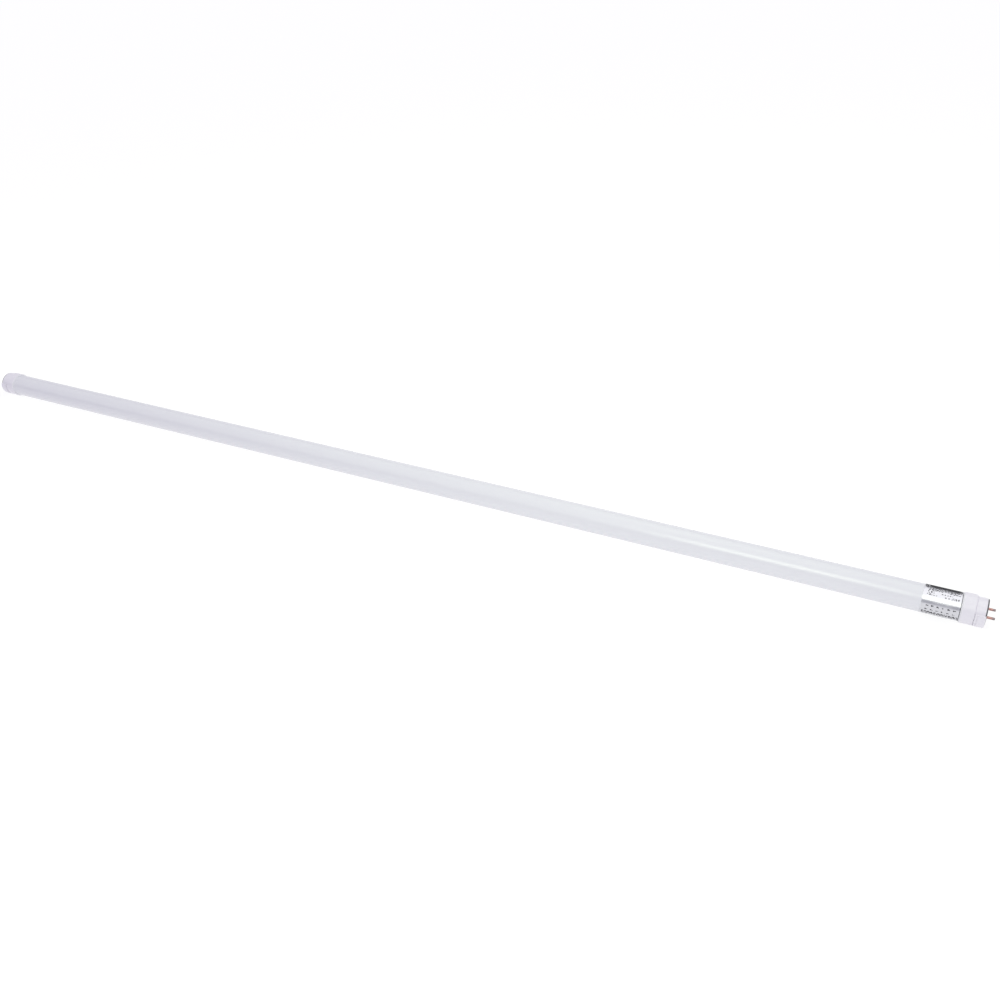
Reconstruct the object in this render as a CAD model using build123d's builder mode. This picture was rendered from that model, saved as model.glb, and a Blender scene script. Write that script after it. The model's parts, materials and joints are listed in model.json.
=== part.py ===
from build123d import *
import math
import os

os.makedirs("parts", exist_ok=True)

# A white tube lamp with a two-pin cap at each end, lying level
# Sizes are in millimetres
# X runs along the lamp towards the fed end, Z is up, and the origin is the middle of the axis

# Glass tube
face_to_face = 1199.0
glass_diameter = 26.0
glass_wall = 0.8

# End caps: a collar over the glass, a slimmer tip, and a skirt round the tip's lower half
collar_length = 11.0
collar_wall = 0.95
tip_length = 9.6
tip_inset = 1.3
tip_wall = 1.0
shoulder_wall = 1.0
mouth_round = 0.7
collar_chamfer = 0.3
skirt_rise = 4.6
skirt_setback = 0.3
skirt_round = 0.4
slit_width = 0.5
band_width = 1.7
groove_width = 0.35
groove_depth = 0.45

# Plate that carries the pins: a flange over the end of the tip, and a spigot seated on a ledge inside it
plate_thickness = 2.1
flange_thickness = 1.2
flange_inset = 0.3
flange_fit = 0.05
flange_chamfer = 0.15
ledge_width = 1.2
ledge_thickness = 1.0

# Contact pins: hollow, with a flange behind the plate and a thicker shank through it
pin_diameter = 2.35
pin_length = 7.1
pin_spacing = 12.7
pin_bore_diameter = 1.2
pin_shank_width = 0.2
pin_flange_width = 0.4
pin_flange_thickness = 0.5
pin_tip_round = 0.45

# Sealant between the caps and the glass, with a bead at each mouth
seal_thickness = 0.15
bead_width = 0.6
bead_height = 0.75
bead_edge = 0.08

# Foil label beside the fed cap, wrapped round the front of the glass
label_length = 32.7
label_gap = 0.1
label_thickness = 0.1
label_fit = 0.06
label_height = 60.0
label_top_angle = 50.0
label_corner = 2.0

# Lit board along the bottom of the glass
strip_width = 10.0
strip_thickness = 1.0
strip_edge_gap = 0.1
strip_end_gap = 4.0
glue_fit = 0.06
led_count = 96
led_length = 3.5
led_width = 2.8
led_height = 0.7
led_frame = 0.4
led_window_depth = 0.15
led_margin = 6.0

# Supply board, held by rails in the fed cap
board_drop = 5.5
board_thickness = 1.0
board_edge_gap = 1.4
board_end_gap = 3.0
board_margin = 1.2
rail_wall = 1.2
rail_grip = 0.8
rail_fit = 0.05
part_gap = 0.7
row_gap = 1.0

# Leads and posts
lead_diameter = 0.8
lead_inset = 2.5
lead_bend = 3.0
lead_cover = 1.0
lead_tail = 0.6
link_reach = 6.0
post_side = 0.64
post_spacing = 5.08
post_stand = 1.0

# Insulating film round the supply board
film_thickness = 0.3
film_fit = 0.1
film_slot_gap = 0.4
film_reach = 1.5

# Parts on the supply board
fuse_body_diameter = 2.8
fuse_body_length = 6.0
fuse_leg_diameter = 0.6
fuse_leg_reach = 1.0
fuse_stand = 0.4
fuse_leg_bend = 0.6
bridge_size = (4.7, 3.9, 2.4)
input_capacitor_size = (9.0, 4.0, 8.0)
input_capacitor_round = 0.5
choke_diameter = 6.8
choke_height = 7.5
choke_flange = 1.1
choke_neck_diameter = 3.0
choke_winding_inset = 0.4
chip_size = (4.9, 3.9, 1.5)
resistor_size = (3.2, 1.6, 0.6)
resistor_spacing = 0.5
diode_size = (4.4, 2.6, 2.1)
capacitor_diameter = 8.0
capacitor_height = 11.0
capacitor_groove = 0.35
capacitor_groove_height = 2.0
capacitor_round = 0.5
leg_thickness = 0.25
leg_reach = 0.8
body_chamfer = 0.2

# Transformer: a core with a middle limb, a bobbin on the limb and a winding on the bobbin
limb_height = 2.6
yoke_thickness = 1.3
window_height = 2.4
window_length = 7.6
cheek_thickness = 1.6
core_depth = 5.0
bobbin_wall = 0.5
bobbin_cheek = 0.6
bobbin_fit = 0.05
winding_inset = 0.4
foot_width = 1.6

# Radii and stations along the axis that follow from the sizes above
glass_radius = glass_diameter / 2
glass_bore = glass_radius - glass_wall
seal_radius = glass_radius + seal_thickness
collar_radius = seal_radius + collar_wall
tip_radius = collar_radius - tip_inset
tip_bore = tip_radius - tip_wall
flange_radius = tip_radius - flange_inset
ledge_radius = tip_bore - ledge_width
pin_radius = pin_diameter / 2
pin_bore = pin_bore_diameter / 2
shank_radius = pin_radius + pin_shank_width
pin_side = pin_spacing / 2
lead_radius = lead_diameter / 2

rim_x = face_to_face / 2
collar_end_x = rim_x - tip_length
mouth_x = collar_end_x - collar_length
glass_end_x = collar_end_x - shoulder_wall
tip_end_x = rim_x - flange_thickness
plate_back_x = rim_x - plate_thickness
ledge_back_x = plate_back_x - ledge_thickness

# How near a round edge comes to a radius or a station to count as lying on it
edge_tolerance = 0.01

# Heights of the two boards
strip_bottom = strip_edge_gap - math.sqrt(glass_bore ** 2 - (strip_width / 2) ** 2)
strip_top = strip_bottom + strip_thickness
board_bottom = -board_drop
board_top = board_bottom + board_thickness
board_side = math.sqrt(tip_bore ** 2 - board_drop ** 2) - board_edge_gap
board_outer_x = ledge_back_x - board_end_gap
lead_x = board_outer_x - lead_inset


def finish(piece, name):
    """Label a finished piece and write it."""
    piece.part.label = name
    export_step(piece.part, f"parts/{name}.step")


def ring(plane, outer_radius, inner_radius, length):
    """A plain ring that stands on a plane."""
    with BuildPart() as piece:
        with BuildSketch(plane):
            Circle(outer_radius)
            Circle(inner_radius, mode=Mode.SUBTRACT)
        extrude(amount=length)
    return piece


def round_edges(piece, radius):
    """The piece's round edges of one radius, in order along the lamp."""
    edges = piece.edges().filter_by(GeomType.CIRCLE)
    return edges.filter_by(lambda edge: abs(edge.radius - radius) < edge_tolerance).sort_by(Axis.X)


def mirrored(piece):
    """The same piece at the other end of the lamp."""
    with BuildPart() as copy:
        mirror(piece.part, about=Plane.YZ)
    return copy


# Glass tube
glass_tube = ring(Plane.YZ.offset(-glass_end_x), glass_radius, glass_bore, 2 * glass_end_x)
finish(glass_tube, "glass_tube")

# Fed end cap
skirt_start_x = collar_end_x + slit_width
skirt_end_x = rim_x - skirt_setback
groove_x = skirt_start_x + band_width
rail_start_y = board_side - rail_grip
rail_width = tip_radius - rail_start_y
rail_middle_z = (board_top + board_bottom) / 2

with BuildPart() as driver_end_cap:
    with BuildSketch(Plane.XZ):
        with BuildLine():
            Polyline(
                (mouth_x, seal_radius),
                (mouth_x, collar_radius),
                (collar_end_x, collar_radius),
                (collar_end_x, tip_radius),
                (tip_end_x, tip_radius),
                (tip_end_x, tip_bore),
                (plate_back_x, tip_bore),
                (plate_back_x, ledge_radius),
                (ledge_back_x, ledge_radius),
                (ledge_back_x, tip_bore),
                (glass_end_x, tip_bore),
                (glass_end_x, seal_radius),
                close=True,
            )
        make_face()
    revolve(axis=Axis.X)
    collar_edges = round_edges(driver_end_cap, collar_radius)
    fillet(collar_edges[0], radius=mouth_round)
    chamfer(collar_edges[-1], length=collar_chamfer)

    # The skirt, parted from the collar by a slit, with a fine groove across it
    with BuildSketch(Plane.YZ.offset(skirt_start_x)):
        Circle(collar_radius)
        Circle(flange_radius + flange_fit, mode=Mode.SUBTRACT)
        with Locations((0, skirt_rise + collar_radius / 2)):
            Rectangle(2 * collar_radius, collar_radius, mode=Mode.SUBTRACT)
    extrude(amount=skirt_end_x - skirt_start_x)
    skirt_edges = round_edges(driver_end_cap, collar_radius).filter_by(
        lambda edge: abs(edge.position_at(0).X - skirt_end_x) < edge_tolerance
    )
    fillet(skirt_edges, radius=skirt_round)
    with BuildSketch(Plane.YZ.offset(groove_x)):
        Circle(collar_radius + groove_depth)
        Circle(collar_radius - groove_depth, mode=Mode.SUBTRACT)
    extrude(amount=groove_width, mode=Mode.SUBTRACT)

    # Rails that hold the supply board by its long edges
    with BuildSketch(Plane.YZ.offset(glass_end_x)):
        for side in (-1, 1):
            with Locations((side * (rail_start_y + rail_width / 2), rail_middle_z)):
                Rectangle(rail_width, board_thickness + 2 * rail_wall)
        Circle(tip_bore + tip_wall / 2, mode=Mode.INTERSECT)
        with Locations((0, rail_middle_z)):
            Rectangle(2 * (board_side + rail_fit), board_thickness + 2 * rail_fit, mode=Mode.SUBTRACT)
    extrude(amount=ledge_back_x - glass_end_x)
finish(driver_end_cap, "driver_end_cap")

far_end_cap = mirrored(driver_end_cap)
finish(far_end_cap, "far_end_cap")

# Plates that carry the pins
with BuildPart() as driver_pin_plate:
    with BuildSketch(Plane.YZ.offset(plate_back_x)):
        Circle(tip_bore)
    extrude(amount=plate_thickness)
    with BuildSketch(Plane.YZ.offset(tip_end_x)):
        Circle(flange_radius)
    extrude(amount=flange_thickness)
    chamfer(driver_pin_plate.faces().sort_by(Axis.X)[-1].edges(), length=flange_chamfer)
    with BuildSketch(Plane.YZ.offset(plate_back_x)):
        with GridLocations(pin_spacing, 0, 2, 1):
            Circle(shank_radius)
    extrude(amount=plate_thickness, mode=Mode.SUBTRACT)
finish(driver_pin_plate, "driver_pin_plate")

far_pin_plate = mirrored(driver_pin_plate)
finish(far_pin_plate, "far_pin_plate")


def contact_pin(side_y):
    """A hollow pin at the fed end, turned about its own axis."""
    axis = Axis((0, side_y, 0), (1, 0, 0))
    flange_back_x = plate_back_x - pin_flange_thickness
    with BuildPart() as pin:
        with BuildSketch(Plane.XZ.offset(-side_y)):
            with BuildLine():
                Polyline(
                    (flange_back_x, pin_bore),
                    (flange_back_x, shank_radius + pin_flange_width),
                    (plate_back_x, shank_radius + pin_flange_width),
                    (plate_back_x, shank_radius),
                    (rim_x, shank_radius),
                    (rim_x, pin_radius),
                    (rim_x + pin_length, pin_radius),
                    (rim_x + pin_length, pin_bore),
                    close=True,
                )
            make_face()
        revolve(axis=axis)
        tip_edges = pin.faces().sort_by(Axis.X)[-1].edges().sort_by(lambda edge: edge.radius)
        fillet(tip_edges[-1], radius=pin_tip_round)
    return pin


driver_pin_front = contact_pin(-pin_side)
finish(driver_pin_front, "driver_pin_front")

driver_pin_back = contact_pin(pin_side)
finish(driver_pin_back, "driver_pin_back")

far_pin_front = mirrored(driver_pin_front)
finish(far_pin_front, "far_pin_front")

far_pin_back = mirrored(driver_pin_back)
finish(far_pin_back, "far_pin_back")

# Sealant: a thin skin under the collar and a hollow-faced bead at its mouth
bead_end_x = mouth_x - bead_width

with BuildPart() as driver_cap_sealant:
    with BuildSketch(Plane.XZ):
        with BuildLine():
            RadiusArc(
                (mouth_x, glass_radius + bead_height),
                (bead_end_x, glass_radius + bead_edge),
                -2 * bead_width,
            )
            Polyline(
                (bead_end_x, glass_radius + bead_edge),
                (bead_end_x, glass_radius),
                (glass_end_x, glass_radius),
                (glass_end_x, seal_radius),
                (mouth_x, seal_radius),
                (mouth_x, glass_radius + bead_height),
            )
        make_face()
    revolve(axis=Axis.X)
finish(driver_cap_sealant, "driver_cap_sealant")

far_cap_sealant = mirrored(driver_cap_sealant)
finish(far_cap_sealant, "far_cap_sealant")

# Foil label, from its top edge round the front of the glass, with rounded corners
label_outer_x = bead_end_x - label_gap
label_inner_x = label_outer_x - label_length
label_turn = math.degrees(label_height / glass_radius)
label_inside = glass_radius + label_fit
label_outside = label_inside + label_thickness
corner_turn = math.degrees(label_corner / glass_radius)
corner_block = label_corner + label_thickness

with BuildPart() as foil_label:
    with BuildSketch(Plane.YZ.offset(label_inner_x)):
        with BuildLine():
            outer_arc = CenterArc((0, 0), label_outside, label_top_angle, label_turn)
            inner_arc = CenterArc((0, 0), label_inside, label_top_angle, label_turn)
            Line(outer_arc @ 0, inner_arc @ 0)
            Line(outer_arc @ 1, inner_arc @ 1)
        make_face()
    extrude(amount=label_length)
    for angle, side_y in (
        (label_top_angle + corner_turn, 1),
        (label_top_angle + label_turn - corner_turn, -1),
    ):
        radial = Vector(0, 1, 0).rotate(Axis.X, angle)
        for middle_x, side_x in ((label_inner_x + label_corner, -1), (label_outer_x - label_corner, 1)):
            middle = Vector(middle_x, 0, 0) + radial * glass_radius
            with BuildSketch(Plane(middle, x_dir=(1, 0, 0), z_dir=radial)):
                with Locations((side_x * corner_block / 2, side_y * corner_block / 2)):
                    Rectangle(corner_block, corner_block)
                Circle(label_corner, mode=Mode.SUBTRACT)
            extrude(amount=label_corner / 2, both=True, mode=Mode.SUBTRACT)
finish(foil_label, "foil_label")

# Lit board, with the glue that fills the space under it
strip_half = glass_end_x - strip_end_gap

with BuildPart() as led_strip:
    with BuildSketch(Plane.XY.offset(strip_bottom)):
        Rectangle(2 * strip_half, strip_width)
    extrude(amount=strip_thickness)
finish(led_strip, "led_strip")

with BuildPart() as strip_adhesive:
    with BuildSketch(Plane.YZ.offset(-strip_half)):
        Circle(glass_bore - glue_fit)
        with Locations((0, strip_bottom - glass_bore / 2)):
            Rectangle(strip_width, glass_bore, mode=Mode.INTERSECT)
    extrude(amount=2 * strip_half)
finish(strip_adhesive, "strip_adhesive")

# Stations of the parts on the supply board, from its outer end inwards, in a front and a back row
row_x = lead_x - lead_radius - part_gap
fuse_length = fuse_body_length + 2 * fuse_leg_reach
fuse_x = row_x - fuse_length / 2
input_capacitor_x = fuse_x - fuse_length / 2 - part_gap - input_capacitor_size[0] / 2
diode_x = input_capacitor_x - input_capacitor_size[0] / 2 - part_gap - diode_size[0] / 2
bridge_x = row_x - bridge_size[0] / 2
choke_x = bridge_x - bridge_size[0] / 2 - part_gap - choke_diameter / 2
chip_x = choke_x - choke_diameter / 2 - part_gap - chip_size[0] / 2
resistor_x = chip_x - chip_size[0] / 2 - part_gap - resistor_size[0] / 2
rows_end_x = min(diode_x - diode_size[0] / 2, resistor_x - resistor_size[0] / 2)
core_length = window_length + 2 * cheek_thickness
core_x = rows_end_x - part_gap - core_length / 2
capacitor_x = core_x - core_length / 2 - part_gap - capacitor_diameter / 2
post_x = capacitor_x - capacitor_diameter / 2 - part_gap - post_side / 2
board_inner_x = post_x - post_side / 2 - board_margin

fuse_y = row_gap / 2 + fuse_body_diameter / 2
input_capacitor_y = row_gap / 2 + input_capacitor_size[1] / 2
diode_y = row_gap / 2 + diode_size[1] / 2 + leg_reach
bridge_y = -row_gap / 2 - bridge_size[1] / 2 - leg_reach
choke_y = -row_gap / 2 - choke_diameter / 2
chip_y = -row_gap / 2 - chip_size[1] / 2 - leg_reach
resistor_y = -row_gap / 2 - resistor_size[1] - resistor_spacing / 2

# Supply board, with holes for the leads and the posts
with BuildPart() as driver_board:
    with BuildSketch(Plane.XY.offset(board_bottom)):
        with Locations(((board_outer_x + board_inner_x) / 2, 0)):
            Rectangle(board_outer_x - board_inner_x, 2 * board_side)
        with Locations((lead_x, 0)):
            with GridLocations(0, pin_spacing, 1, 2):
                Circle(lead_radius, mode=Mode.SUBTRACT)
        with Locations((post_x, 0)):
            with GridLocations(0, post_spacing, 1, 2):
                Rectangle(post_side, post_side, mode=Mode.SUBTRACT)
    extrude(amount=board_thickness)
finish(driver_board, "driver_board")

# Light sources, evenly spaced from the far end to the supply board, each with a sunk window
lit_far_x = -strip_half + led_margin
lit_near_x = board_inner_x - led_margin
led_pitch = (lit_near_x - lit_far_x - led_length) / (led_count - 1)

with BuildPart() as led_chips:
    with BuildSketch(Plane.XY.offset(strip_top)):
        with Locations(((lit_far_x + lit_near_x) / 2, 0)):
            with GridLocations(led_pitch, 0, led_count, 1):
                Rectangle(led_length, led_width)
    extrude(amount=led_height)
    with BuildSketch(Plane.XY.offset(strip_top + led_height)):
        with Locations(((lit_far_x + lit_near_x) / 2, 0)):
            with GridLocations(led_pitch, 0, led_count, 1):
                Rectangle(led_length - 2 * led_frame, led_width - 2 * led_frame)
    extrude(amount=-led_window_depth, mode=Mode.SUBTRACT)
finish(led_chips, "led_chips")


def wire(points, diameter, bend):
    """A round wire along straight runs joined by arcs."""
    with BuildPart() as piece:
        with BuildLine() as route:
            FilletPolyline(*points, radius=bend)
        with BuildSketch(Plane(route.line @ 0, z_dir=route.line % 0)):
            Circle(diameter / 2)
        sweep(path=route.line)
    return piece


def pin_lead(side_y):
    """The wire from inside a fed pin down through the supply board."""
    start_x = rim_x - lead_cover
    end_z = board_bottom - lead_tail
    points = [(start_x, side_y, 0), (lead_x, side_y, 0), (lead_x, side_y, end_z)]
    return wire(points, lead_diameter, lead_bend)


live_lead = pin_lead(-pin_side)
finish(live_lead, "live_lead")

neutral_lead = pin_lead(pin_side)
finish(neutral_lead, "neutral_lead")

# The link between the two far pins
link_outer_x = lead_cover - rim_x
link_inner_x = link_reach - ledge_back_x
link_points = [
    (link_outer_x, pin_side, 0),
    (link_inner_x, pin_side, 0),
    (link_inner_x, -pin_side, 0),
    (link_outer_x, -pin_side, 0),
]
far_pin_link = wire(link_points, lead_diameter, lead_bend)
finish(far_pin_link, "far_pin_link")

# Posts from the lit board up through the supply board
with BuildPart() as output_header:
    with BuildSketch(Plane.XY.offset(strip_top)):
        with Locations((post_x, 0)):
            with GridLocations(0, post_spacing, 1, 2):
                Rectangle(post_side, post_side)
    extrude(amount=board_top + post_stand - strip_top)
finish(output_header, "output_header")

# Insulating film against the glass, open below where the lit board passes
film_outside = glass_bore - film_fit
film_inside = film_outside - film_thickness
film_start_x = board_inner_x - film_reach
film_slot = strip_width + 2 * film_slot_gap

with BuildPart() as driver_sleeve:
    with BuildSketch(Plane.YZ.offset(film_start_x)):
        Circle(film_outside)
        Circle(film_inside, mode=Mode.SUBTRACT)
        with Locations((0, -glass_bore / 2)):
            Rectangle(film_slot, glass_bore, mode=Mode.SUBTRACT)
    extrude(amount=glass_end_x - film_start_x)
finish(driver_sleeve, "driver_sleeve")


def flat_pack(middle_x, middle_y, size, legs, leg_share):
    """A chamfered body with flat legs that cross under it."""
    leg_width = leg_share * size[0] / legs
    with BuildPart() as pack:
        with BuildSketch(Plane.XY.offset(board_top)):
            with Locations((middle_x, middle_y)):
                Rectangle(size[0], size[1])
        extrude(amount=size[2])
        chamfer(pack.faces().sort_by(Axis.Z)[-1].edges(), length=body_chamfer)
        with BuildSketch(Plane.XY.offset(board_top)):
            with Locations((middle_x, middle_y)):
                with GridLocations(size[0] / legs, 0, legs, 1):
                    Rectangle(leg_width, size[1] + 2 * leg_reach)
        extrude(amount=leg_thickness)
    return pack


bridge_rectifier = flat_pack(bridge_x, bridge_y, bridge_size, legs=2, leg_share=0.3)
finish(bridge_rectifier, "bridge_rectifier")

driver_chip = flat_pack(chip_x, chip_y, chip_size, legs=4, leg_share=0.35)
finish(driver_chip, "driver_chip")

output_diode = flat_pack(diode_x, diode_y, diode_size, legs=1, leg_share=0.35)
finish(output_diode, "output_diode")

# Input capacitor: a moulded block with round upright edges
with BuildPart() as input_capacitor:
    with BuildSketch(Plane.XY.offset(board_top)):
        with Locations((input_capacitor_x, input_capacitor_y)):
            RectangleRounded(input_capacitor_size[0], input_capacitor_size[1], input_capacitor_round)
    extrude(amount=input_capacitor_size[2])
finish(input_capacitor, "input_capacitor")

with BuildPart() as sense_resistors:
    with BuildSketch(Plane.XY.offset(board_top)):
        with Locations((resistor_x, resistor_y)):
            with GridLocations(0, resistor_size[1] + resistor_spacing, 1, 2):
                Rectangle(resistor_size[0], resistor_size[1])
    extrude(amount=resistor_size[2])
finish(sense_resistors, "sense_resistors")

# Fuse resistor: a round body on a wire whose ends are bent down to the board
fuse_z = board_top + fuse_stand + fuse_body_diameter / 2
fuse_leg_x = fuse_length / 2 - fuse_leg_diameter / 2
fuse_points = [
    (fuse_x - fuse_leg_x, fuse_y, board_top),
    (fuse_x - fuse_leg_x, fuse_y, fuse_z),
    (fuse_x + fuse_leg_x, fuse_y, fuse_z),
    (fuse_x + fuse_leg_x, fuse_y, board_top),
]
fuse_wire = wire(fuse_points, fuse_leg_diameter, fuse_leg_bend)

with BuildPart() as fuse_resistor:
    add(fuse_wire.part)
    with BuildSketch(Plane.YZ.offset(fuse_x - fuse_body_length / 2)):
        with Locations((fuse_y, fuse_z)):
            Circle(fuse_body_diameter / 2)
    extrude(amount=fuse_body_length)
finish(fuse_resistor, "fuse_resistor")

# Choke: a drum core with its winding between the flanges
choke_radius = choke_diameter / 2
choke_neck = choke_neck_diameter / 2
choke_top = board_top + choke_height

with BuildPart() as choke_core:
    with BuildSketch(Plane.XY.offset(board_top)):
        with Locations((choke_x, choke_y)):
            Circle(choke_neck)
    extrude(amount=choke_height)
    with BuildSketch(Plane.XY.offset(board_top), Plane.XY.offset(choke_top - choke_flange)):
        with Locations((choke_x, choke_y)):
            Circle(choke_radius)
    extrude(amount=choke_flange)
finish(choke_core, "choke_core")

with BuildPart() as choke_winding:
    with BuildSketch(Plane.XY.offset(board_top + choke_flange)):
        with Locations((choke_x, choke_y)):
            Circle(choke_radius - choke_winding_inset)
            Circle(choke_neck, mode=Mode.SUBTRACT)
    extrude(amount=choke_height - 2 * choke_flange)
finish(choke_winding, "choke_winding")

# Transformer core: a frame with a middle limb, its lower yoke on the board
core_height = limb_height + 2 * window_height + 2 * yoke_thickness
core_z = board_top + core_height / 2
window_z = (limb_height + window_height) / 2

with BuildPart() as transformer_core:
    with BuildSketch(Plane.XZ.offset(-core_depth / 2)):
        with Locations((core_x, core_z)):
            Rectangle(core_length, core_height)
        with Locations((core_x, core_z + window_z), (core_x, core_z - window_z)):
            Rectangle(window_length, window_height, mode=Mode.SUBTRACT)
    extrude(amount=core_depth)
finish(transformer_core, "transformer_core")

# Bobbin: a sleeve on the limb with a cheek at each end and two feet on the board
sleeve_inner = (core_depth + 2 * bobbin_fit, limb_height + 2 * bobbin_fit)
sleeve_outer = (sleeve_inner[0] + 2 * bobbin_wall, sleeve_inner[1] + 2 * bobbin_wall)
cheek_rise = window_height - bobbin_fit
cheek_outer = (core_depth + 2 * cheek_rise, limb_height + 2 * window_height - 2 * bobbin_fit)
bobbin_length = window_length - 2 * bobbin_fit
bobbin_start_x = core_x - bobbin_length / 2
foot_y = core_depth / 2 + bobbin_fit + foot_width / 2
foot_top = core_z - cheek_outer[1] / 2 + bobbin_cheek

with BuildPart() as transformer_bobbin:
    with BuildSketch(Plane.YZ.offset(bobbin_start_x)):
        with Locations((0, core_z)):
            Rectangle(*sleeve_outer)
    extrude(amount=bobbin_length)
    for cheek_x in (bobbin_start_x, bobbin_start_x + bobbin_length - bobbin_cheek):
        with BuildSketch(Plane.YZ.offset(cheek_x)):
            with Locations((0, core_z)):
                Rectangle(*cheek_outer)
            with Locations((0, (board_top + foot_top) / 2)):
                with GridLocations(2 * foot_y, 0, 2, 1):
                    Rectangle(foot_width, foot_top - board_top)
        extrude(amount=bobbin_cheek)
    with BuildSketch(Plane.YZ.offset(bobbin_start_x)):
        with Locations((0, core_z)):
            Rectangle(*sleeve_inner)
    extrude(amount=bobbin_length, mode=Mode.SUBTRACT)
finish(transformer_bobbin, "transformer_bobbin")

winding_outer = (cheek_outer[0] - 2 * winding_inset, cheek_outer[1] - 2 * winding_inset)

with BuildPart() as transformer_winding:
    with BuildSketch(Plane.YZ.offset(bobbin_start_x + bobbin_cheek)):
        with Locations((0, core_z)):
            Rectangle(*winding_outer)
            Rectangle(*sleeve_outer, mode=Mode.SUBTRACT)
    extrude(amount=bobbin_length - 2 * bobbin_cheek)
finish(transformer_winding, "transformer_winding")

# Smoothing capacitor: a round can with a rolled groove near its foot
with BuildPart() as smoothing_capacitor:
    with BuildSketch(Plane.XY.offset(board_top)):
        with Locations((capacitor_x, 0)):
            Circle(capacitor_diameter / 2)
    extrude(amount=capacitor_height)
    fillet(smoothing_capacitor.faces().sort_by(Axis.Z)[-1].edges(), radius=capacitor_round)
    with BuildSketch(Plane.XY.offset(board_top + capacitor_groove_height)):
        with Locations((capacitor_x, 0)):
            Circle(capacitor_diameter / 2 + capacitor_groove)
            Circle(capacitor_diameter / 2 - capacitor_groove, mode=Mode.SUBTRACT)
    extrude(amount=2 * capacitor_groove, mode=Mode.SUBTRACT)
finish(smoothing_capacitor, "smoothing_capacitor")
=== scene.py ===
import json
import math
import random

import bmesh
import bpy
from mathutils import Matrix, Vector


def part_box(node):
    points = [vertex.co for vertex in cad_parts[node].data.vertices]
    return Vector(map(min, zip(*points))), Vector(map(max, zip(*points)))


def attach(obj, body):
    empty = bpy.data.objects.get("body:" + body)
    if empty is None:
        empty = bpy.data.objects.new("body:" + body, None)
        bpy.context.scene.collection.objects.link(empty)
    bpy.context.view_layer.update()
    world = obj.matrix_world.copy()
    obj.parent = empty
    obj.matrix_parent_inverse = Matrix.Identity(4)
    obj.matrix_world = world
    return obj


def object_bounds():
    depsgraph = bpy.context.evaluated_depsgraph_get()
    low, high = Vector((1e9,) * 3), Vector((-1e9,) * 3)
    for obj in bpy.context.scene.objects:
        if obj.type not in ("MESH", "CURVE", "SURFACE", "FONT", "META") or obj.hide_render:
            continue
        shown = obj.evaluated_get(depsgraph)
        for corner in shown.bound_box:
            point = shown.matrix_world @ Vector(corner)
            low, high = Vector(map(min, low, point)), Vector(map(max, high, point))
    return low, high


# A straight tube lamp with a white milky glass, two end caps and a silver label, lying on a pale floor.
# +X runs along the lamp to the labelled end and +Z is up. Lengths are in metres unless a name says mm.
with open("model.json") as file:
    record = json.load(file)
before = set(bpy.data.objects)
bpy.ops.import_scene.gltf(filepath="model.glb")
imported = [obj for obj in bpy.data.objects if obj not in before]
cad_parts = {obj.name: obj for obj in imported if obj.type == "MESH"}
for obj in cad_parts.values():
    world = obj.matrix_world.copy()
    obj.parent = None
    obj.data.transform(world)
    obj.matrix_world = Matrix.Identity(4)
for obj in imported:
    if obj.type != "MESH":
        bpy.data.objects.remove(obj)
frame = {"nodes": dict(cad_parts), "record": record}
nodes = frame["nodes"]
cad_low, cad_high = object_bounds()

MM = 0.001
TWO_PI = 2 * math.pi
WHITE = (1, 1, 1, 1)
# Noise has most of its values between these two
NOISE_LOW = 0.3
NOISE_HIGH = 0.7
# The colour sockets of a Mix node
MIX_COLOURS = (6, 7)
MIX_RESULT = 2
draw = random.Random(11)


def put(name, data):
    """A new object, linked to the scene."""
    made = bpy.data.objects.new(name, data)
    bpy.context.scene.collection.objects.link(made)
    return made


def piece(name, mesh, material):
    """An object from a finished edit mesh, with its faces turned outward."""
    bmesh.ops.recalc_face_normals(mesh, faces=mesh.faces)
    data = bpy.data.meshes.new(name)
    mesh.to_mesh(data)
    mesh.free()
    data.materials.append(material)
    return put(name, data)


# Node helpers
def colour(red, green, blue):
    """A colour written as it looks on screen, 0 to 255, as linear light by the sRGB curve."""
    def linear(value):
        share = value / 255
        return share / 12.92 if share <= 0.04045 else ((share + 0.055) / 1.055) ** 2.4

    return (linear(red), linear(green), linear(blue), 1.0)


def add(tree, kind, inputs=None, **settings):
    """Add a shader node; an input takes a value or the output socket that feeds it."""
    made = tree.nodes.new("ShaderNode" + kind)
    for key, value in settings.items():
        setattr(made, key, value)
    for key, value in (inputs or {}).items():
        if isinstance(value, bpy.types.NodeSocket):
            tree.links.new(value, made.inputs[key])
        else:
            made.inputs[key].default_value = value
    return made


def math_node(tree, operation, *values):
    """A Math node's output."""
    return add(tree, "Math", dict(enumerate(values)), operation=operation).outputs[0]


def ramp(tree, share, stops):
    """A colour that follows a share through the given stops."""
    made = add(tree, "ValToRGB", {"Fac": share})
    band = made.color_ramp
    while len(band.elements) < len(stops):
        band.elements.new(0.5)
    for element, (position, value) in zip(band.elements, stops):
        element.position = position
        element.color = value
    return made.outputs["Color"]


def blend(tree, share, first, second):
    """The mix of two colours by a share."""
    inputs = {"Factor": share, MIX_COLOURS[0]: first, MIX_COLOURS[1]: second}
    return add(tree, "Mix", data_type="RGBA", inputs=inputs).outputs[MIX_RESULT]


def between(tree, share, low, high):
    """A number that runs from low to high over the values that noise mostly has."""
    inputs = {"Value": share, "From Min": NOISE_LOW, "From Max": NOISE_HIGH, "To Min": low, "To Max": high}
    return add(tree, "MapRange", inputs).outputs["Result"]


def stained(tree, base, share, most, stain):
    """A colour with a stain over it, which reaches its most where the share is high."""
    return blend(tree, between(tree, share, 0.0, most), base, stain)


def coordinates(tree, scale=(1, 1, 1)):
    """The place on the lamp in metres, scaled on each axis."""
    place = add(tree, "TexCoord").outputs["Object"]
    return add(tree, "Mapping", {"Vector": place, "Scale": scale}).outputs["Vector"]


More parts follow.
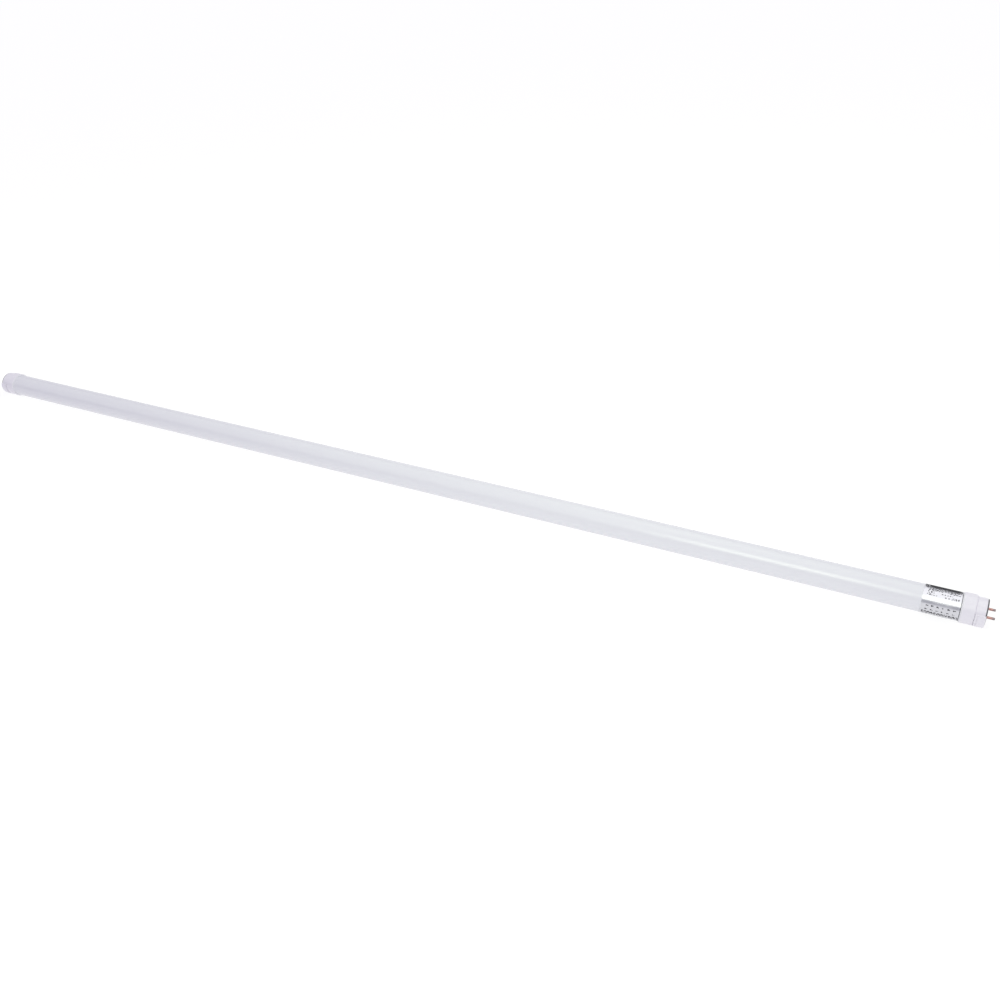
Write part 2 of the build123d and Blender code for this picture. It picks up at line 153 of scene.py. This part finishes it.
def grain(tree, size_mm, stretch=(1, 1, 1), detail=3.0, roughness=0.5):
    """Noise whose features are about size_mm across, longer on an axis by its stretch."""
    scale = [1 / (size_mm * MM * value) for value in stretch]
    inputs = {"Vector": coordinates(tree, scale), "Scale": 1.0, "Detail": detail, "Roughness": roughness}
    return add(tree, "TexNoise", inputs).outputs["Fac"]


def lift(tree, height, depth_mm, strength=1.0, before=None):
    """A bump's normal from a height share, on top of another bump if one is given."""
    inputs = {"Height": height, "Strength": strength, "Distance": depth_mm * MM}
    if before is not None:
        inputs["Normal"] = before
    return add(tree, "Bump", inputs).outputs["Normal"]


def finish_of(name, **constants):
    """A new material, its node tree and its shader, with the sockets that are the same all over."""
    material = bpy.data.materials.new(name)
    material.use_nodes = True
    tree = material.node_tree
    shader = tree.nodes["Principled BSDF"]
    for key, value in constants.items():
        shader.inputs[key.replace("_", " ")].default_value = value
    return material, tree, shader


def wire_up(tree, shader, base=None, rough=None, normal=None):
    """Link colour, roughness and normal to the shader."""
    for key, value in (("Base Color", base), ("Roughness", rough), ("Normal", normal)):
        if value is not None:
            tree.links.new(value, shader.inputs[key])


# Materials of what shows
def opal_glass():
    """Glossy glass with a milky coat inside, drawn along the tube."""
    material, tree, shader = finish_of("opal_glass", IOR=1.5, Specular_IOR_Level=0.5)
    drawn = grain(tree, size_mm=14, stretch=(26, 1, 1), detail=2)
    cloudy = grain(tree, size_mm=1.6, detail=4)
    waves = grain(tree, size_mm=30, stretch=(14, 1, 1), detail=1)
    base = blend(tree, drawn, colour(231, 231, 236), colour(235, 235, 239))
    base = stained(tree, base, cloudy, 0.14, colour(226, 226, 233))
    normal = lift(tree, waves, depth_mm=0.05, strength=0.3)
    wire_up(tree, shader, base, rough=between(tree, drawn, 0.19, 0.25), normal=normal)
    return material


def foil():
    """Bright foil, rolled along the label, with soft dents where it is pressed on the glass."""
    material, tree, shader = finish_of("foil", Metallic=1.0)
    rolled = grain(tree, size_mm=0.35, stretch=(30, 1, 1), detail=3)
    dents = grain(tree, size_mm=5.0, stretch=(1.6, 1, 1), detail=2)
    base = blend(tree, rolled, colour(203, 203, 209), colour(218, 218, 223))
    normal = lift(tree, dents, depth_mm=0.05, strength=0.5)
    normal = lift(tree, rolled, depth_mm=0.004, strength=0.4, before=normal)
    wire_up(tree, shader, base, rough=between(tree, dents, 0.20, 0.30), normal=normal)
    return material


def print_and_shade_ink():
    """Dark grey ink with uneven cover, also used for a line of painted shade beside the cap."""
    material, tree, shader = finish_of("label_ink_and_shade_line", Specular_IOR_Level=0.12)
    cover = grain(tree, size_mm=0.5, detail=4, roughness=0.7)
    base = blend(tree, cover, colour(12, 12, 15), colour(38, 38, 46))
    normal = lift(tree, cover, depth_mm=0.008, strength=0.4)
    wire_up(tree, shader, base, rough=between(tree, cover, 0.35, 0.55), normal=normal)
    return material


def cap_plastic():
    """Satin white moulded plastic with a fine grain and faint flow marks."""
    material, tree, shader = finish_of("cap_plastic", IOR=1.49, Coat_Weight=0.6, Coat_Roughness=0.3)
    flow = grain(tree, size_mm=7, stretch=(2.2, 1, 1), detail=3)
    fine = grain(tree, size_mm=0.22, detail=2)
    base = blend(tree, flow, colour(234, 231, 239), colour(240, 237, 243))
    base = stained(tree, base, fine, 0.2, colour(226, 223, 231))
    normal = lift(tree, fine, depth_mm=0.02, strength=0.5)
    wire_up(tree, shader, base, rough=between(tree, flow, 0.38, 0.48), normal=normal)
    return material


def plate_plastic():
    """Smooth dark grey plate with visible fibres. Its dark grey is painted shade: it stands in for the
    shade that falls on the cap's end face.
    """
    material, tree, shader = finish_of("plate_plastic", IOR=1.5, Coat_Weight=0.4)
    fibres = grain(tree, size_mm=0.5, stretch=(1, 4, 1), detail=4)
    specks = grain(tree, size_mm=0.15, detail=2)
    # These dark greys are painted shade for the cap's end face
    base = blend(tree, fibres, colour(74, 74, 79), colour(98, 98, 103))
    base = stained(tree, base, specks, 0.3, colour(58, 58, 63))
    normal = lift(tree, specks, depth_mm=0.006, strength=0.4)
    wire_up(tree, shader, base, rough=between(tree, fibres, 0.22, 0.34), normal=normal)
    return material


def pin_metal():
    """Turned copper-coloured metal with greyish stains, worn grey near the tips."""
    material, tree, shader = finish_of("pin_metal", Metallic=1.0)
    rings = grain(tree, size_mm=0.12, stretch=(1, 30, 30), detail=2)
    stain = grain(tree, size_mm=1.5, detail=4)
    base = blend(tree, rings, colour(180, 136, 128), colour(202, 158, 150))
    base = stained(tree, base, stain, 0.5, colour(150, 126, 124))
    reach = add(tree, "SeparateXYZ", {"Vector": coordinates(tree)}).outputs["X"]
    reach = math_node(tree, "ABSOLUTE", reach)
    wear = {"Value": reach, "From Min": PIN_TIP - WORN_LENGTH, "From Max": PIN_TIP - GREY_LENGTH}
    worn = add(tree, "MapRange", wear).outputs["Result"]
    base = blend(tree, worn, base, colour(144, 131, 132))
    normal = lift(tree, rings, depth_mm=0.006, strength=0.5)
    wire_up(tree, shader, base, rough=between(tree, stain, 0.24, 0.40), normal=normal)
    return material


def sealant():
    """White silicone with a skin of small dimples."""
    material, tree, shader = finish_of("sealant", Specular_IOR_Level=0.4)
    dimples = grain(tree, size_mm=0.7, detail=3)
    base = blend(tree, dimples, colour(228, 228, 232), colour(240, 240, 243))
    normal = lift(tree, dimples, depth_mm=0.05, strength=0.6)
    wire_up(tree, shader, base, rough=between(tree, dimples, 0.45, 0.65), normal=normal)
    return material


def soft_solder():
    """Solder that set with a frosted skin."""
    material, tree, shader = finish_of("soft_solder", Metallic=1.0)
    frost = grain(tree, size_mm=0.18, detail=4)
    base = blend(tree, frost, colour(150, 150, 154), colour(188, 188, 192))
    normal = lift(tree, frost, depth_mm=0.02, strength=0.6)
    wire_up(tree, shader, base, rough=between(tree, frost, 0.28, 0.5), normal=normal)
    return material


# Materials of what the glass and caps hide
def board(name, dark, light):
    """A coated board, with the weave of its glass cloth just showing."""
    material, tree, shader = finish_of(name, Specular_IOR_Level=0.5)
    inputs = {"Vector": coordinates(tree), "Scale": 1 / WEAVE_WAVE, "Distortion": 0.4}
    along = add(tree, "TexWave", inputs, bands_direction="X").outputs["Fac"]
    across = add(tree, "TexWave", inputs, bands_direction="Y").outputs["Fac"]
    weave = math_node(tree, "MULTIPLY", along, across)
    patches = grain(tree, size_mm=3.0, detail=3)
    base = stained(tree, blend(tree, weave, dark, light), patches, 0.3, dark)
    normal = lift(tree, weave, depth_mm=0.01, strength=0.4)
    wire_up(tree, shader, base, rough=between(tree, patches, 0.25, 0.42), normal=normal)
    return material


def moulded(name, dark, light, rough):
    """Moulded resin or a dipped coat, with a sandy skin, no smoother than the given roughness."""
    material, tree, shader = finish_of(name, Specular_IOR_Level=0.45)
    patches = grain(tree, size_mm=2.0, detail=3)
    sand = grain(tree, size_mm=0.12, detail=2)
    base = stained(tree, blend(tree, patches, dark, light), sand, 0.3, dark)
    normal = lift(tree, sand, depth_mm=0.015, strength=0.5)
    wire_up(tree, shader, base, rough=between(tree, patches, rough, rough + 0.15), normal=normal)
    return material


def wound_wire():
    """Enamelled copper wire, its turns lying side by side up the core, with painted shade in the grooves
    between turns and painted highlight on their crests.
    """
    material, tree, shader = finish_of("copper_wire", Metallic=1.0, Coat_Weight=0.6)
    inputs = {"Vector": coordinates(tree), "Scale": 1 / TURNS_WAVE, "Distortion": 0.3}
    turns = add(tree, "TexWave", inputs, bands_direction="Z", wave_profile="SIN").outputs["Fac"]
    shade = grain(tree, size_mm=1.0, detail=2)
    # Painted shade and painted highlight: dark in the grooves between turns, light on their crests
    base = blend(tree, turns, colour(96, 44, 22), colour(214, 124, 72))
    base = stained(tree, base, shade, 0.3, colour(150, 74, 40))
    normal = lift(tree, turns, depth_mm=0.08, strength=0.8)
    wire_up(tree, shader, base, rough=between(tree, shade, 0.22, 0.36), normal=normal)
    return material


def tinned_wire():
    """Drawn wire with a dull tin coat."""
    material, tree, shader = finish_of("tinned_wire", Metallic=1.0)
    streaks = grain(tree, size_mm=0.1, stretch=(12, 1, 12), detail=3)
    base = blend(tree, streaks, colour(164, 165, 168), colour(206, 207, 208))
    normal = lift(tree, streaks, depth_mm=0.006, strength=0.4)
    wire_up(tree, shader, base, rough=between(tree, streaks, 0.25, 0.4), normal=normal)
    return material


def chip_windows():
    """Light sources: a yellow window of phosphor set in a white frame."""
    material, tree, shader = finish_of("phosphor", Specular_IOR_Level=0.4)
    height = add(tree, "SeparateXYZ", {"Vector": coordinates(tree)}).outputs["Z"]
    window = math_node(tree, "GREATER_THAN", height, CHIP_TOP - WINDOW_DEPTH)
    grains = grain(tree, size_mm=0.2, detail=3)
    yellow = blend(tree, grains, colour(232, 205, 92), colour(246, 226, 140))
    base = blend(tree, window, colour(236, 236, 232), yellow)
    normal = lift(tree, grains, depth_mm=0.01, strength=0.4)
    wire_up(tree, shader, base, rough=between(tree, grains, 0.3, 0.45), normal=normal)
    return material


PIN_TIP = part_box("driver_pin_front")[1].x
# A pin turns grey over the stretch between these two distances from its tip
WORN_LENGTH = 3.4 * MM
GREY_LENGTH = 1.6 * MM
CHIP_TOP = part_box("led_chips")[1].z
WINDOW_DEPTH = 0.06 * MM
# A wave texture repeats about every third of the length that scales it
TURNS_WAVE = 2.2 * MM
WEAVE_WAVE = 0.5 * MM
FINISHES = {
    "opal_glass": opal_glass(),
    "foil": foil(),
    "cap_plastic": cap_plastic(),
    "plate_plastic": plate_plastic(),
    "pin_metal": pin_metal(),
    "sealant": sealant(),
    "white_board": board("white_board", colour(224, 224, 220), colour(240, 240, 237)),
    "phosphor": chip_windows(),
    "clear_glue": moulded("clear_glue", colour(206, 206, 202), colour(226, 226, 222), rough=0.22),
    "green_board": board("green_board", colour(18, 70, 34), colour(34, 104, 54)),
    "black_mould": moulded("black_mould", colour(22, 22, 25), colour(44, 44, 48), rough=0.5),
    "yellow_mould": moulded("yellow_mould", colour(186, 142, 26), colour(216, 176, 52), rough=0.4),
    "resistor_coat": moulded("resistor_coat", colour(58, 106, 92), colour(92, 142, 124), rough=0.35),
    "ferrite": moulded("ferrite", colour(42, 42, 45), colour(72, 72, 76), rough=0.55),
    "copper_wire": wound_wire(),
    "can_sleeve": moulded("can_sleeve", colour(18, 26, 44), colour(34, 44, 66), rough=0.2),
    "tinned_wire": tinned_wire(),
    "film": moulded("film", colour(222, 222, 218), colour(240, 240, 236), rough=0.25),
}
for part in frame["record"]["subparts"]:
    slots = nodes[part["node"]].data.materials
    slots.clear()
    slots.append(FINISHES[part["material_slot"]])

# Label print: a dark field, short bars in rows and small marks, all plain shapes, and a dark line of
# painted shade along the edge beside the cap. Where no MM is written, its places and sizes are in
# millimetres, along from the label's left edge and down from its top edge.
LABEL_LOW, LABEL_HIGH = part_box("foil_label")
LABEL_RADIUS = LABEL_HIGH.z
LABEL_TOP_ANGLE = math.radians(50)
# How far the ink stands up from the foil and reaches into it
INK_HEIGHT = 0.025 * MM
INK_ROOT = 0.03 * MM
# A round corner is built from rows this far apart, each drawn in by this share of what a true round asks
ROUND_STEP = 0.4
CORNER_SHARE = 0.98
# The ranges of a bar's length, half thickness and gap, as shares of what its row gives
BAR_LENGTHS = (0.4, 1.0)
BAR_HALVES = (0.4, 0.6)
BAR_GAPS = (0.6, 1.4)
SHORTEST_BAR = 0.4
# A mark is drawn one unit across; a disc keeps a short flat and a wedge a blunt tip, so no row is empty
MARK_STEPS = 8
DISC_FLAT = 0.003
WEDGE_TIP = 0.04


def on_label(along, down, radius):
    """A point at a place on the label, at a radius in metres."""
    angle = LABEL_TOP_ANGLE + down * MM / LABEL_RADIUS
    return (LABEL_LOW.x + along * MM, radius * math.cos(angle), radius * math.sin(angle))


def ink_patch(mesh, rows):
    """One closed patch of ink from rows of (down, left, right)."""
    rings = []
    for down, left, right in rows:
        corners = (
            (left, LABEL_RADIUS - INK_ROOT),
            (right, LABEL_RADIUS - INK_ROOT),
            (right, LABEL_RADIUS + INK_HEIGHT),
            (left, LABEL_RADIUS + INK_HEIGHT),
        )
        rings.append([mesh.verts.new(on_label(along, down, radius)) for along, radius in corners])
    mesh.faces.new(rings[0])
    mesh.faces.new(list(reversed(rings[-1])))
    for upper, lower in zip(rings, rings[1:]):
        for index in range(4):
            after = (index + 1) % 4
            mesh.faces.new((upper[after], upper[index], lower[index], lower[after]))


def block_rows(left, right, top, bottom, corner=0.0):
    """The rows of a rectangle whose corners are rounded by a radius."""
    count = max(2, math.ceil((bottom - top) / ROUND_STEP)) if corner else 2
    rows = []
    for index in range(count + 1):
        down = top + (bottom - top) * index / count
        depth = max(corner - (down - top), corner - (bottom - down), 0.0)
        inset = corner - math.sqrt(max(corner**2 - depth**2, 0.0)) if corner else 0.0
        rows.append((down, left + inset * CORNER_SHARE, right - inset * CORNER_SHARE))
    return rows


def bar_row(mesh, left, right, middle, thick, longest, gap, drift=0.0):
    """Short bars in a row, of uneven lengths and a little uneven in height."""
    at = left
    while at < right - SHORTEST_BAR:
        length = min(draw.uniform(*BAR_LENGTHS) * longest, right - at)
        down = middle + draw.uniform(-drift, drift)
        half = thick * draw.uniform(*BAR_HALVES)
        ink_patch(mesh, block_rows(at, at + length, down - half, down + half))
        at += length + draw.uniform(*BAR_GAPS) * gap


def mark_rows(shape, along, down, size):
    """A small mark: a disc, a square or a wedge."""
    rows = []
    for index in range(MARK_STEPS + 1):
        share = index / MARK_STEPS
        if shape == "disc":
            half = math.sqrt(max(0.5**2 - (share - 0.5) ** 2, DISC_FLAT))
        elif shape == "wedge":
            half = WEDGE_TIP + (0.5 - WEDGE_TIP) * share
        else:
            half = 0.5
        rows.append((down + (share - 0.5) * size, along - half * size, along + half * size))
    return rows


# The dark field, with a ragged row along each long side of it and short rows beside its ends
FIELD_END_ROWS = (2.2, 3.5, 4.8, 6.1, 7.4)
ink = bmesh.new()
ink_patch(ink, block_rows(left=4.6, right=30.0, top=1.4, bottom=8.0, corner=0.6))
bar_row(ink, left=1.4, right=31.6, middle=8.75, thick=0.8, longest=3.0, gap=0.15)
bar_row(ink, left=1.4, right=31.6, middle=0.9, thick=0.7, longest=3.0, gap=0.2)
for middle in FIELD_END_ROWS:
    bar_row(ink, left=1.0, right=4.5, middle=middle, thick=1.05, longest=1.7, gap=0.25)
    bar_row(ink, left=30.1, right=32.0, middle=middle, thick=1.05, longest=1.3, gap=0.25)
# Rows of bars, close together near the field and sparse below: middle, left, right
CLOSE_ROWS = ((9.9, 2.6, 29.5), (11.0, 4.4, 27.6), (12.0, 4.0, 15.8), (12.1, 21.5, 31.0))
SPARSE_ROWS = (
    (13.7, 3.6, 10.4),
    (14.5, 15.2, 24.4),
    (15.1, 4.2, 9.0),
    (16.5, 3.2, 6.8),
    (17.1, 4.8, 12.6),
    (16.3, 24.6, 31.2),
    (17.2, 18.2, 31.0),
)
for middle, left, right in CLOSE_ROWS:
    bar_row(ink, left, right, middle, thick=0.7, longest=2.2, gap=0.9, drift=0.15)
for middle, left, right in SPARSE_ROWS:
    bar_row(ink, left, right, middle, thick=0.68, longest=1.5, gap=1.1, drift=0.2)
# Two rows of small marks, with a short bar beside all but one of them. A bar's left, right and drop are
# measured from the middle of its mark, and every second one is shifted.
SHAPES = ("wedge", "square", "disc", "wedge", "square", "disc")
FIRST_MARK = 4.8
MARK_SPACING = 4.55
UPPER_MARKS = 27.0
LOWER_MARKS = 31.0
LOWER_SHIFT = 0.2
BAR_SHIFT = 0.5
WITHOUT_BAR = 3


def side_bar(mesh, along, down, left, right, drop, thick):
    """The short bar beside a mark, which stands at a place on the label."""
    bar_row(mesh, along + left, along + right, down + drop, thick, longest=0.9, gap=0.5)


for index, shape in enumerate(SHAPES):
    along = FIRST_MARK + MARK_SPACING * index
    ink_patch(ink, mark_rows(shape, along, UPPER_MARKS, size=1.35))
    ink_patch(ink, mark_rows(SHAPES[index - 2], along - LOWER_SHIFT, LOWER_MARKS, size=1.2))
    if index != WITHOUT_BAR:
        shift = BAR_SHIFT * (index % 2)
        side_bar(ink, along, UPPER_MARKS - shift, left=0.9, right=1.9, drop=0.3, thick=1.0)
        side_bar(ink, along, LOWER_MARKS + shift, left=0.7, right=1.6, drop=0.1, thick=0.6)
# Dense rows along the lower edge, and the side that the photograph doesn't show
LOWER_ROWS = (34.1, 35.3, 36.5)
HIDDEN_ROWS = (41.0, 43.0, 45.0, 49.0, 51.0)
HIDDEN_RIGHT = (24.0, 31.0)
for middle in LOWER_ROWS:
    bar_row(ink, left=1.6, right=31.6, middle=middle, thick=0.9, longest=2.2, gap=0.9, drift=0.12)
for middle in HIDDEN_ROWS:
    right = draw.uniform(*HIDDEN_RIGHT)
    bar_row(ink, left=3.0, right=right, middle=middle, thick=0.7, longest=2.6, gap=0.5)
ink_patch(ink, block_rows(left=3.0, right=30.6, top=54.0, bottom=57.5, corner=1.0))
# A dark line along the edge beside the cap. It is painted shade and painted reflection: ink put where the
# cap's mouth shades the foil and the foil mirrors the dark gap.
PAINTED_SHADE_LINE = (32.08, 32.52)
EDGE_TOP = 8.0
EDGE_BOTTOM = 58.0
EDGE_STEPS = 120
edge_downs = [EDGE_TOP + (EDGE_BOTTOM - EDGE_TOP) * index / EDGE_STEPS for index in range(EDGE_STEPS + 1)]
ink_patch(ink, [(down, *PAINTED_SHADE_LINE) for down in edge_downs])
label_print_and_shade_line = piece("label_print_and_shade_line", ink, print_and_shade_ink())
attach(label_print_and_shade_line, "root")

# Solder at the tips of the pins, where each lead ends in the bore
BORE_RADIUS = 0.6 * MM
SOLDER_GRIP = 0.015 * MM
SOLDER_ROOT = 2.0 * MM
SOLDER_SET_BACK = 0.35 * MM
SOLDER_CROWN = 0.22 * MM
SOLDER_SIDES = 28
CROWN_RINGS = 6
PINS = ("driver_pin_front", "driver_pin_back", "far_pin_front", "far_pin_back")


def solder_plug(mesh, pin):
    """A plug with a domed end inside the bore of one pin."""
    low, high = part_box(pin)
    facing = 1 if high.x > 0 else -1
    tip = high.x if facing > 0 else low.x
    middle = (low + high) / 2
    radius = BORE_RADIUS + SOLDER_GRIP
    edge = tip - facing * SOLDER_SET_BACK
    outline = [(tip - facing * SOLDER_ROOT, radius)]
    for index in range(CROWN_RINGS):
        turn = math.pi / 2 * index / CROWN_RINGS
        outline.append((edge + facing * SOLDER_CROWN * math.sin(turn), radius * math.cos(turn)))
    rings = []
    for along, wide in outline:
        ring = []
        for side in range(SOLDER_SIDES):
            turn = TWO_PI * side / SOLDER_SIDES
            place = (along, middle.y + wide * math.cos(turn), middle.z + wide * math.sin(turn))
            ring.append(mesh.verts.new(place))
        rings.append(ring)
    for first, second in zip(rings, rings[1:]):
        for side in range(SOLDER_SIDES):
            after = (side + 1) % SOLDER_SIDES
            mesh.faces.new((first[side], first[after], second[after], second[side]))
    crown = mesh.verts.new((edge + facing * SOLDER_CROWN, middle.y, middle.z))
    for side in range(SOLDER_SIDES):
        mesh.faces.new((rings[-1][side], rings[-1][(side + 1) % SOLDER_SIDES], crown))
    mesh.faces.new(rings[0])


plugs = bmesh.new()
for pin in PINS:
    solder_plug(plugs, pin)
# The sides and the crown are smooth, and the many-sided root stays flat
for face in plugs.faces:
    face.smooth = len(face.verts) <= 4
pin_solder = piece("pin_solder", plugs, soft_solder())
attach(pin_solder, "root")

# Floor: pale and matt, blended towards white for the camera and for reflections, and still shaded by the
# lamp
FLOOR_HALF = 8.0
FLOOR_CORNERS = ((-1, -1), (1, -1), (1, 1), (-1, 1))
WHITE_SHARE = 0.8
FILL_SHARE = 0.34
WHITE_STRENGTH = 1.1
floor_mesh = bpy.data.meshes.new("studio_floor")
floor_points = [(x * FLOOR_HALF, y * FLOOR_HALF, cad_low.z) for x, y in FLOOR_CORNERS]
floor_mesh.from_pydata(floor_points, [], [(0, 1, 2, 3)])
floor = put("studio_floor", floor_mesh)
paper, tree, shader = finish_of("floor_paper", Roughness=1.0, Specular_IOR_Level=0.0)
fibre = grain(tree, size_mm=4.0, detail=3)
wire_up(tree, shader, blend(tree, fibre, colour(251, 251, 252), colour(253, 253, 254)))
path = add(tree, "LightPath").outputs
seen = math_node(tree, "MAXIMUM", path["Is Camera Ray"], path["Is Glossy Ray"])
seen = math_node(tree, "MAXIMUM", seen, path["Is Transmission Ray"])
share = math_node(tree, "MULTIPLY_ADD", seen, WHITE_SHARE - FILL_SHARE, FILL_SHARE)
white = add(tree, "Emission", {"Color": WHITE, "Strength": WHITE_STRENGTH}).outputs[0]
mixed = add(tree, "MixShader", {0: share, 1: shader.outputs[0], 2: white}).outputs[0]
tree.links.new(mixed, tree.nodes["Material Output"].inputs["Surface"])
floor_mesh.materials.append(paper)

# World: even light for the lamp, white behind it, and for reflections a wide soft box overhead with dark
# flags low on either side. STUDIO goes round the lamp's axis: 0 is level in front, 0.5 overhead and 1 level
# behind.
STUDIO = (
    (0.000, (0.60, 0.60, 0.64, 1)),
    (0.030, (0.38, 0.38, 0.41, 1)),
    (0.145, (0.38, 0.38, 0.41, 1)),
    (0.165, (1.00, 1.00, 1.00, 1)),
    (0.640, (1.00, 1.00, 1.00, 1)),
    (0.720, (0.85, 0.85, 0.86, 1)),
    (0.800, (0.62, 0.62, 0.63, 1)),
    (1.000, (0.62, 0.62, 0.63, 1)),
)
STUDIO_STRENGTH = 1.42
EVEN_COLOUR = (0.883, 0.845, 1.0, 1)
EVEN_STRENGTH = 0.66
world = bpy.data.worlds.new("studio")
world.use_nodes = True
bpy.context.scene.world = world
tree = world.node_tree
tree.nodes.clear()
path = add(tree, "LightPath").outputs
direction = add(tree, "TexCoord").outputs["Generated"]
axes = add(tree, "SeparateXYZ", {"Vector": direction}).outputs
front = math_node(tree, "MULTIPLY", axes["Y"], -1.0)
around = math_node(tree, "ARCTAN2", axes["Z"], front)
around = math_node(tree, "DIVIDE", around, math.pi)
studio = ramp(tree, around, STUDIO)
box_light = add(tree, "Background", {"Color": studio, "Strength": STUDIO_STRENGTH}).outputs[0]
even_light = add(tree, "Background", {"Color": EVEN_COLOUR, "Strength": EVEN_STRENGTH}).outputs[0]
white = add(tree, "Background", {"Color": WHITE, "Strength": 1.0}).outputs[0]
lit = add(tree, "MixShader", {0: path["Is Glossy Ray"], 1: even_light, 2: box_light}).outputs[0]
clear = math_node(tree, "MAXIMUM", path["Is Camera Ray"], path["Is Transmission Ray"])
seen = add(tree, "MixShader", {0: clear, 1: lit, 2: white}).outputs[0]
tree.links.new(seen, add(tree, "OutputWorld").inputs["Surface"])

# Lamps: a soft box in front of the labelled half, which leaves the streak on the glass, and a soft one
# behind. Each is given by its name, its place along the tube, its rise from level in front in degrees, its
# distance from the axis, its size along and across the tube, its radiance, and whether reflections show it.
LAMP_TINT = (0.90, 1.0, 0.76)
LAMPS = (
    ("soft_box", 0.31, 44.5, 1.0, (0.42, 0.40), 4.4, True),
    ("back_lamp", 0.28, 108, 1.3, (1.0, 0.9), 1.85, False),
)


def area_lamp(name, along, rise, distance, size, radiance, in_reflections):
    """A rectangular lamp that faces the axis."""
    turn = math.radians(rise)
    place = Vector((along, -distance * math.cos(turn), distance * math.sin(turn)))
    data = bpy.data.lights.new(name, "AREA")
    data.shape = "RECTANGLE"
    data.size, data.size_y = size
    data.energy = radiance * math.pi * size[0] * size[1]
    data.color = LAMP_TINT
    lamp = put(name, data)
    lamp.location = place
    lamp.rotation_mode = "QUATERNION"
    lamp.rotation_quaternion = (place - Vector((along, 0, 0))).to_track_quat("Z", "Y")
    lamp.visible_camera = False
    lamp.visible_glossy = in_reflections


for lamp in LAMPS:
    area_lamp(*lamp)

# Camera: at the photograph's place, looking down along the lamp from its labelled end
LENS_MM = 36.0
SENSOR_MM = 36.0
CAMERA_PLACE = (0.52244, -0.79112, 0.58273)
CAMERA_DEGREES = (56.5256, 1.8328, 25.5409)
camera_data = bpy.data.cameras.new("camera")
camera_data.lens = LENS_MM
camera_data.sensor_width = SENSOR_MM
camera = put("camera", camera_data)
camera.location = CAMERA_PLACE
camera.rotation_euler = [math.radians(value) for value in CAMERA_DEGREES]
bpy.context.scene.camera = camera
bpy.context.scene.view_settings.view_transform = "Standard"
